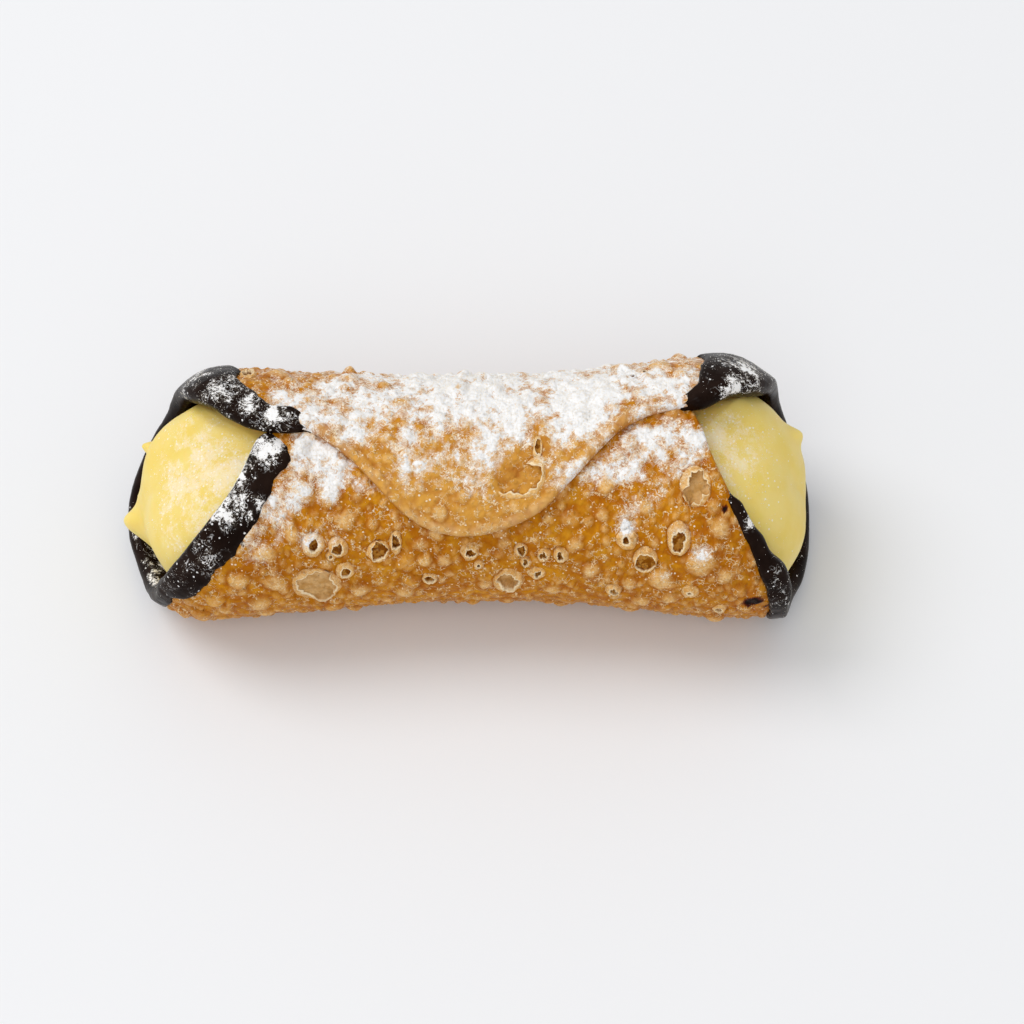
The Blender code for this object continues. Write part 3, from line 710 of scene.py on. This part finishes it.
def coat_sugar(turn, x, height, side):
    """Density of the sugar on the chocolate. The lower lip's inner side has caught some too."""
    density = np.zeros(len(turn))
    for place_turn, place_x, reach_turn, reach_x, strength in COAT_SUGAR:
        apart = ((turn - place_turn) / reach_turn) ** 2 + ((x * 1000 - place_x) / reach_x) ** 2
        density = 1 - (1 - density) * (1 - strength * np.exp(-apart * 1.2))
    inner = ramp(0.0002, -0.0006, height)
    lip = inner * ramp(-80, -40, turn) * ramp(40, 10, turn) * (0.34 if side < 0 else 0.08)
    return np.maximum(density * (1 - inner), lip)


# ---------------------------------------------------------------- the cream
CREAM_SEGMENTS = 168
DOME_RINGS = 46
BODY_RINGS = 14
MOUTH_WAVES = 2  # the dome's outline keeps this many waves of the mouth's outline near its middle


def cream_radius(turn, x):
    """The cream's radius inside the tube. It narrows past the chocolate and widens past the hidden ply."""
    past_coat = PAST_COAT[0] * ramp(*PAST_COAT[1:], rim_distance(turn, x))
    turns, reach = HIDDEN_PLY
    room = (PLY + LAP_GAP) * ramp(*LAP_RISE, turn) * ramp(*turns, turn) * ramp(*reach, np.abs(x))
    return bore_at(turn, x) - CREAM_GAP - past_coat + room


def swell(share, angle, mouth, dome, peaks):
    """Points on a dome. Share is 0 at its middle and 1 where it leaves the tube."""
    middle, bulge, bulge_way = (np.array(value) for value in dome)
    height = bulge * (1 - share**DOME_POWER)
    for peak_angle, peak_share, peak_height, spread in peaks:
        apart = np.radians(angle - peak_angle)
        gap = np.sqrt(share**2 + peak_share**2 - 2 * share * peak_share * np.cos(apart))
        height = height + peak_height * np.exp(-((gap / spread) ** 2)) * ramp(1, PEAK_FADE, share)
    middle = middle + MIDDLE
    waves = np.fft.rfft(mouth, axis=0)
    waves[MOUTH_WAVES + 1 :] = 0
    smooth = np.fft.irfft(waves, len(mouth), axis=0)
    sharp = ramp(0.45, 1.0, share)[:, None]
    outline = mouth * sharp + smooth * (1 - sharp)
    return middle + (outline - middle) * share[:, None] + height[:, None] * bulge_way


def add_cream(material):
    """One run of cream through the tube, with fine domes at both ends."""
    angle = np.tile(np.linspace(0, 360, CREAM_SEGMENTS, endpoint=False), 1)
    turn = np.where(angle < 180, angle + 180, angle - 180) - 360 * (angle < 0)
    turn = np.where(turn > 234, turn - 360, turn)
    ends = [np.interp(angle, *np.array(mouth).T, period=360) for mouth in (LEFT_MOUTH, RIGHT_MOUTH)]

    def tube_ring(along):
        x = ends[0] * (1 - along) / 2 + ends[1] * (1 + along) / 2
        hidden = np.where(angle < 180, angle - 180, angle - 180)
        ring = round_axis(hidden, x, cream_radius(hidden, x))
        ring[:, 2] = np.maximum(ring[:, 2], PLY + CREAM_GAP)
        return ring

    left_mouth, right_mouth = tube_ring(-1.0), tube_ring(1.0)
    shares = np.linspace(0.012, 1, DOME_RINGS) ** 0.8
    rings = [swell(np.full(CREAM_SEGMENTS, s), angle, left_mouth, LEFT_DOME, LEFT_PEAKS) for s in shares]
    domes = [s for s in shares]
    for along in np.linspace(-1, 1, BODY_RINGS + 2)[1:-1]:
        rings.append(tube_ring(along))
        domes.append(2)
    for s in shares[::-1]:
        rings.append(swell(np.full(CREAM_SEGMENTS, s), angle, right_mouth, RIGHT_DOME, RIGHT_PEAKS))
        domes.append(s)
    points = np.array(rings)
    share = np.repeat(domes, CREAM_SEGMENTS)
    flat_points = points.reshape(-1, 3)
    place = flat_points * 1000
    out = flat_points - (MIDDLE + np.where(flat_points[:, :1] < 0, -1, 1) * np.array((0.046, 0, -0.001)))
    out /= np.linalg.norm(out, axis=1, keepdims=True)
    stretched = place * np.array((1.0, 0.55, 0.75))
    rough = 0.16 * cloudy(stretched, 8.0, 71, 1) + 0.05 * cloudy(place, 2.4, 75, 2)
    fade = ramp(1.0, 0.86, share) * ramp(0.02, 0.2, share)
    flat_points += out * (rough * fade / 1000)[:, None]
    faces = grid_faces(len(rings), CREAM_SEGMENTS, closed=True)
    for first in (0, (len(rings) - 1) * CREAM_SEGMENTS):
        faces.append(tuple(first + k for k in range(CREAM_SEGMENTS)))
    density = sugar_level(cream_sugar(flat_points, share), place, 81)
    cream = make_piece("cream_filling", flat_points, faces, material, {"sugar": density})
    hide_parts("cream")
    return flat_points, grid_faces(len(rings), CREAM_SEGMENTS, closed=True), density


# Sugar on the cream as (x, y, z, reach, strength), in millimetres from the tube's middle
CREAM_SUGAR = (
    (-40, -4, 15, 5.0, 0.70), (-45, -6, 13, 9.0, 0.52), (-50, 0, 12, 9.0, 0.36), (-50, -10, 5, 8, 0.20),
    (42, 1, 16, 5.0, 0.68), (45, -6, 15, 6.5, 0.30), (51, 2, 14, 8.0, 0.12), (48, -12, 6, 7, 0.08),
)  # fmt: skip


def cream_sugar(points, share):
    density = np.zeros(len(points))
    place = (points - MIDDLE) * 1000
    for x, y, z, reach, strength in CREAM_SUGAR:
        apart = np.sum((place - np.array((x, y, z))) ** 2, axis=1) / reach**2
        density = 1 - (1 - density) * (1 - strength * np.exp(-apart * 1.2))
    return density * (share <= 1)


# ---------------------------------------------------------------- sugar grains
GRAIN_CORNERS = np.array(((1, 0, 0), (0, 1, 0), (-1, 0, 0), (0, -1, 0), (0, 0, 1), (0, 0, -1)), float)
GRAIN_FACES = np.array(((0, 1, 4), (1, 2, 4), (2, 3, 4), (3, 0, 4), (1, 0, 5), (2, 1, 5), (3, 2, 5), (0, 3, 5)))


def add_grains(name, surface, count, size, material, seed, power=1.0):
    """Lumps of icing sugar strewn over a surface by its sugar density. Each lump is an uneven octahedron."""
    points, faces, density = surface
    random = np.random.default_rng(seed)
    faces = np.array(faces)
    corners = points[faces]
    area = np.linalg.norm(np.cross(corners[:, 2] - corners[:, 0], corners[:, 3] - corners[:, 1]), axis=1) / 2
    weight = area * density[faces].mean(axis=1) ** power
    picked = random.choice(len(faces), count, p=weight / weight.sum())
    s, t = random.random((2, count, 1))
    a, b, c, d = (corners[picked, k] for k in range(4))
    place = a * (1 - s) * (1 - t) + b * s * (1 - t) + c * s * t + d * (1 - s) * t
    radius = size[0] + (size[1] - size[0]) * random.random((count, 1, 1)) ** 2.5
    spin = np.linalg.qr(random.normal(size=(count, 3, 3)))[0]
    stretch = random.uniform(0.6, 1.25, (count, 6, 1))
    lumps = np.einsum("kc,nvc->nvk", np.eye(3), (GRAIN_CORNERS * stretch) @ spin) * radius
    lumps = lumps + place[:, None]
    lumps[..., 2] = np.maximum(lumps[..., 2], 0)
    index = (GRAIN_FACES[None] + 6 * np.arange(count)[:, None, None]).reshape(-1, 3)
    grains = make_piece(name, lumps.reshape(-1, 3), index.tolist(), material)


# ---------------------------------------------------------------- materials
class Look:
    """A material whose shader sockets are fed by nodes, written as nested calls."""

    def __init__(self, name):
        self.material = bpy.data.materials.new(name)
        self.material.use_nodes = True
        self.tree = self.material.node_tree
        self.shader = self.tree.nodes["Principled BSDF"]
        self.place = self.add("ShaderNodeTexCoord").outputs["Object"]

    def add(self, kind, inputs=None, **settings):
        node = self.tree.nodes.new(kind)
        for key, value in settings.items():
            setattr(node, key, value)
        for key, value in (inputs or {}).items():
            self.feed(node.inputs[key], value)
        return node

    def feed(self, socket, value):
        if isinstance(value, bpy.types.NodeSocket):
            self.tree.links.new(value, socket)
        elif hasattr(socket.default_value, "__len__") and len(socket.default_value) == 4:
            socket.default_value = (*value, 1.0)
        else:
            socket.default_value = value

    def field(self, name):
        return self.add("ShaderNodeAttribute", attribute_name=name).outputs["Fac"]

    def noise(self, size, detail=3.0, rough=0.55, distort=0.0, place=None):
        """Noise from 0 to 1 with features of about this size in metres."""
        inputs = {"Vector": place or self.place, "Scale": 1 / size, "Detail": detail, "Roughness": rough,
                  "Distortion": distort}
        return self.add("ShaderNodeTexNoise", inputs).outputs["Fac"]

    def cells(self, size, feature="F1", place=None):
        inputs = {"Vector": place or self.place, "Scale": 1 / size}
        return self.add("ShaderNodeTexVoronoi", inputs, feature=feature)

    def warped(self, size, amount):
        """The object's own coordinates, shifted by noise with features of about this size."""
        noise = self.add("ShaderNodeTexNoise", {"Vector": self.place, "Scale": 1 / size, "Detail": 2.0})
        shift = self.add("ShaderNodeVectorMath", {1: (amount, amount, amount), 2: (-amount / 2,) * 3},
                         operation="MULTIPLY_ADD")
        self.feed(shift.inputs[0], noise.outputs["Color"])
        total = self.add("ShaderNodeVectorMath", {0: self.place}, operation="ADD")
        self.feed(total.inputs[1], shift.outputs[0])
        return total.outputs[0]

    def math(self, operation, a, b=0.0, c=0.0, clamp=False):
        node = self.add("ShaderNodeMath", operation=operation, use_clamp=clamp)
        for socket, value in zip(node.inputs, (a, b, c)):
            self.feed(socket, value)
        return node.outputs[0]

    def span(self, value, low, high, new_low=0.0, new_high=1.0):
        inputs = {"Value": value, "From Min": low, "From Max": high, "To Min": new_low, "To Max": new_high}
        return self.add("ShaderNodeMapRange", inputs, interpolation_type="SMOOTHSTEP").outputs[0]

    def mix(self, share, a, b):
        node = self.add("ShaderNodeMix", data_type="RGBA")
        self.feed(node.inputs[0], share)
        self.feed(node.inputs[6], a)
        self.feed(node.inputs[7], b)
        return node.outputs[2]

    def bump(self, height, distance, strength=1.0, normal=None):
        inputs = {"Height": height, "Distance": distance, "Strength": strength}
        if normal:
            inputs["Normal"] = normal
        return self.add("ShaderNodeBump", inputs).outputs["Normal"]

    def surface(self, **inputs):
        for key, value in inputs.items():
            self.feed(self.shader.inputs[key.replace("_", " ")], value)
        return self.material


def sugared(look, color, curls=0.9, haze=0.55, cover=1.0, strewn_color=(0.96, 0.86, 0.68), edge=0.86):
    """The colour under icing sugar, and how much of it shows white.

    Sugar makes drifts and haze where it lies deep, and warm curls and specks where it's strewn.
    """
    level = look.field("sugar")
    fine = look.math("MULTIPLY_ADD", look.noise(0.0008, 6, 0.80), 3.2, -1.6)
    deep = look.math("ADD", level, look.math("MULTIPLY", fine, look.span(level, 0.05, 0.5)))
    contour = look.math("ABSOLUTE", look.math("SUBTRACT", look.noise(0.0016, 2, 0.5, 1.2), 0.5))
    curl = look.span(contour, look.math("MULTIPLY_ADD", level, 0.030, 0.020), 0.004)
    gathered = look.math("MULTIPLY_ADD", level, 0.12, look.noise(0.0022, 2))
    curl = look.math("MULTIPLY", curl, look.span(gathered, 0.47, 0.54))
    curl = look.math("MULTIPLY", curl, look.span(level, 0.10, 0.45, 0.0, curls))
    specks = look.cells(0.0006)
    near = look.math("LESS_THAN", specks.outputs["Distance"], 0.32)
    lot = look.add("ShaderNodeSeparateColor", {"Color": specks.outputs["Color"]}).outputs[0]
    speck = look.math("MULTIPLY", near, look.math("LESS_THAN", lot, look.math("MULTIPLY", level, 0.45)))
    strewn = look.math("MAXIMUM", curl, look.math("MULTIPLY", speck, 0.8))
    color = look.mix(strewn, color, strewn_color)
    mask = look.math("MAXIMUM", look.span(deep, edge, edge + 0.10, 0.0, cover), look.span(deep, 0.20, 0.90, 0.0, haze))
    pores = look.span(look.noise(0.0007, 3, 0.7), 0.63, 0.68, 1.0, 0.55)
    mask = look.math("MULTIPLY", mask, look.math("MAXIMUM", pores, look.span(level, 1.0, 1.3)))
    white = look.mix(look.span(mask, 0.5, 1.0), (0.99, 0.87, 0.73), SUGAR_WHITE)
    return look.mix(mask, color, white), look.math("MAXIMUM", mask, look.math("MULTIPLY", strewn, 0.7))


SUGAR_WHITE = (0.95, 0.94, 0.935)


def crust_look():
    look = Look("crust")
    blister, foot, flap, lip = (look.field(name) for name in ("blister", "foot", "flap", "lip"))
    tone = look.span(look.noise(0.010, 4, 0.6), 0.34, 0.66)
    color = look.mix(tone, (0.44, 0.145, 0.001), (0.61, 0.24, 0.006))
    patches = look.span(look.noise(0.0035, 4, 0.6), 0.44, 0.66)
    color = look.mix(look.math("MULTIPLY", patches, 0.45), color, (0.71, 0.34, 0.022))
    color = look.mix(look.math("MULTIPLY", flap, 0.50), color, (0.78, 0.43, 0.10))
    warped = look.warped(0.0015, 0.0010)
    pimples = look.cells(0.0013, "SMOOTH_F1", warped).outputs["Distance"]
    small = look.cells(0.0006, "SMOOTH_F1").outputs["Distance"]
    # Painted shade: darker colour between the small bumps, away from the blisters.
    crevice_shade = look.math("MULTIPLY", look.span(pimples, 0.30, 0.70), look.math("SUBTRACT", 1.0, blister))
    crevice_shade = look.math("MULTIPLY", crevice_shade, look.span(flap, 0, 1, 0.60, 0.40))
    color = look.mix(crevice_shade, color, (0.36, 0.085, 0.001))
    # Painted shade from the foot field: round blisters and craters, in the flap's dent and groove, and under its edge.
    color = look.mix(look.math("MULTIPLY", foot, 0.55), color, (0.34, 0.080, 0.001))
    # Paler blister tops: the thin dough's own paler colour, with a painted highlight in streaks.
    streaks = look.span(look.noise(0.0007, 3), 0.35, 0.65, 0.45, 0.95)
    color = look.mix(look.math("MULTIPLY", blister, streaks), color, (0.88, 0.56, 0.23))
    froth = look.cells(0.0009, "DISTANCE_TO_EDGE", look.warped(0.0008, 0.0012)).outputs["Distance"]
    frothy = look.math("MAXIMUM", look.span(look.noise(0.0016, 3), 0.50, 0.58), look.math("MULTIPLY", blister, 0.8))
    froth = look.math("MULTIPLY", look.span(froth, 0.08, 0.03), frothy)
    color = look.mix(look.math("MULTIPLY", froth, 0.75), color, (0.94, 0.70, 0.40))
    glints = look.cells(0.0005)
    glint = look.math("LESS_THAN", glints.outputs["Distance"], 0.30)
    lot = look.add("ShaderNodeSeparateColor", {"Color": glints.outputs["Color"]}).outputs[0]
    glint = look.math("MULTIPLY", glint, look.math("LESS_THAN", lot, 0.07))
    color = look.mix(look.math("MULTIPLY", glint, 0.8), color, (0.96, 0.78, 0.50))
    color = look.mix(look.math("MULTIPLY", lip, 0.90), color, (0.95, 0.77, 0.50))
    floor_tone = look.mix(look.span(look.noise(0.0015), 0.35, 0.65), (0.52, 0.28, 0.085), (0.72, 0.46, 0.20))
    color = look.mix(look.math("MULTIPLY", look.field("pit"), 0.9), color, floor_tone)
    # Painted shade in the hollows of broken blisters and towards the rim of the flap's dent.
    shaded_depths = look.mix(look.span(look.noise(0.0011, 3), 0.44, 0.54), (0.62, 0.31, 0.055), (0.25, 0.075, 0.003))
    color = look.mix(look.math("MULTIPLY", look.field("hole"), 0.85), color, shaded_depths)
    scorch = look.span(look.noise(0.0022, 5, 0.7), 0.62, 0.80)
    color = look.mix(look.math("MULTIPLY", scorch, 0.40), color, (0.24, 0.055, 0.003))
    burn = look.math("MULTIPLY_ADD", look.noise(0.0008, 3), 0.8, look.field("burn"))
    color = look.mix(look.span(burn, 0.45, 0.95), color, (0.11, 0.014, 0.002))
    color = look.mix(look.span(burn, 0.85, 1.25), color, (0.012, 0.004, 0.003))
    color, mask = sugared(look, color)
    normal = look.bump(look.math("SUBTRACT", 1.0, pimples), 0.00065, 0.85)
    normal = look.bump(look.math("SUBTRACT", 1.0, small), 0.00020, 0.8, normal)
    normal = look.bump(froth, 0.00008, 0.8, normal)
    normal = look.bump(look.noise(0.0005, 5, 0.65), 0.00010, 0.8, normal)
    normal = look.bump(mask, 0.00008, 0.6, normal)
    rough = look.span(mask, 0, 1, 0.30, 0.9)
    return look.surface(Base_Color=color, Roughness=rough, Normal=normal, Specular_IOR_Level=0.05)


def chocolate_look():
    look = Look("chocolate")
    tone = look.span(look.noise(0.006, 4), 0.35, 0.65)
    color = look.mix(tone, (0.007, 0.003, 0.0018), (0.015, 0.007, 0.0045))
    # Paler patches at random: chocolate bloom and painted sheen.
    bloom_and_sheen = look.span(look.noise(0.0030, 5, 0.65), 0.50, 0.72)
    color = look.mix(look.math("MULTIPLY", bloom_and_sheen, 0.15), color, (0.035, 0.021, 0.015))
    color, mask = sugared(look, color, 0.85, 0.08, 1.0, SUGAR_WHITE, 0.66)
    normal = look.bump(look.noise(0.0020, 4, 0.6), 0.00016, 0.6)
    normal = look.bump(mask, 0.00006, 0.6, normal)
    rough = look.math("ADD", look.span(look.noise(0.003), 0.3, 0.7, 0.24, 0.36), look.math("MULTIPLY", mask, 0.5))
    return look.surface(Base_Color=color, Roughness=rough, Normal=normal, Specular_IOR_Level=0.04)


def cream_look():
    look = Look("cream")
    tone = look.span(look.noise(0.006, 4, 0.5), 0.35, 0.65)
    color = look.mix(tone, (0.86, 0.645, 0.15), (0.88, 0.685, 0.215))
    color, mask = sugared(look, color, 0.35, 0.34, 0.45, (0.95, 0.88, 0.72))
    normal = look.bump(look.noise(0.0025, 4, 0.5), 0.00020, 0.5)
    normal = look.bump(mask, 0.00005, 0.5, normal)
    rough = look.span(mask, 0, 1, 0.42, 0.8)
    return look.surface(Base_Color=color, Roughness=rough, Normal=normal, Specular_IOR_Level=0.15,
                        Subsurface_Weight=0.25, Subsurface_Radius=(0.003, 0.0018, 0.0005), Subsurface_Scale=1.0)


def sugar_look():
    look = Look("sugar")
    tone = look.mix(look.noise(0.0005, 2), (0.94, 0.84, 0.69), (0.95, 0.91, 0.84))
    return look.surface(Base_Color=tone, Roughness=0.85, Subsurface_Weight=0.25,
                        Subsurface_Radius=(0.0005, 0.0005, 0.0005), Subsurface_Scale=1.0)


# ---------------------------------------------------------------- stage
LENS = 100
SENSOR = 36
ELEVATION = 57.0
MM_PER_PIXEL = 0.1752
VIEW_SIZE = 1024
AIM = (0.0425 * 0.1752, 0.0173 * 0.1752)


def add_floor():
    look = Look("floor")
    tone = look.mix(look.noise(0.30, 2), (0.845, 0.847, 0.860), (0.850, 0.852, 0.865))
    material = look.surface(Base_Color=tone, Roughness=0.9)
    mesh = bpy.data.meshes.new("floor")
    mesh.from_pydata([(-3, -3, 0), (3, -3, 0), (3, 3, 0), (-3, 3, 0)], [], [(0, 1, 2, 3)])
    mesh.materials.append(material)
    floor = bpy.data.objects.new("floor", mesh)
    bpy.context.scene.collection.objects.link(floor)


def add_light(name, place, target, size, power):
    data = bpy.data.lights.new(name, "AREA")
    data.shape = "DISK"
    data.size = size
    data.energy = power
    light = bpy.data.objects.new(name, data)
    light.location = place
    light.rotation_euler = (Vector(target) - Vector(place)).to_track_quat("-Z", "Y").to_euler()
    bpy.context.scene.collection.objects.link(light)


def add_camera():
    elevation = np.radians(ELEVATION)
    right = np.array((1, 0, 0))
    up = np.array((0, np.sin(elevation), np.cos(elevation)))
    ahead = np.array((0, np.cos(elevation), -np.sin(elevation)))
    distance = LENS / SENSOR * VIEW_SIZE * MM_PER_PIXEL / 1000
    target = MIDDLE + right * AIM[0] - up * AIM[1]
    data = bpy.data.cameras.new("camera")
    data.lens = LENS
    data.sensor_width = SENSOR
    camera = bpy.data.objects.new("camera", data)
    camera.location = target - ahead * distance
    camera.rotation_euler = Vector(ahead).to_track_quat("-Z", "Y").to_euler()
    bpy.context.scene.collection.objects.link(camera)
    bpy.context.scene.camera = camera


def add_stage():
    add_floor()
    add_camera()
    add_light("key", (-1.10, 0.40, 1.70), (0, 0, 0.02), 1.20, 16.0)
    add_light("fill", (-0.30, -1.30, 1.65), (0, 0, 0.02), 1.40, 8.5)
    world = bpy.data.worlds.new("world")
    world.use_nodes = True
    world.node_tree.nodes["Background"].inputs["Color"].default_value = (0.98, 0.99, 1.0, 1)
    world.node_tree.nodes["Background"].inputs["Strength"].default_value = 0.64
    bpy.context.scene.world = world
    bpy.context.scene.view_settings.view_transform = "Standard"


# ---------------------------------------------------------------- the whole
def main():
    crust = crust_look()
    chocolate = chocolate_look()
    sugar = sugar_look()
    crust_surface = add_crust(crust)
    add_open_blisters(crust)
    left = add_coat("chocolate_coat_left", LEFT_COAT, -1, "chocolate_left", chocolate)
    right = add_coat("chocolate_coat_right", RIGHT_COAT, 1, "chocolate_right", chocolate)
    cream = add_cream(cream_look())
    add_grains("sugar_on_crust", crust_surface, 26000, (0.00005, 0.00015), sugar, 1, 1.7)
    add_grains("sugar_on_chocolate_left", left, 3000, (0.00004, 0.00010), sugar, 2, 1.3)
    add_grains("sugar_on_chocolate_right", right, 1500, (0.00004, 0.00010), sugar, 3, 1.3)
    add_grains("sugar_on_cream", cream, 2500, (0.00004, 0.00011), sugar, 4)
    add_stage()


main()
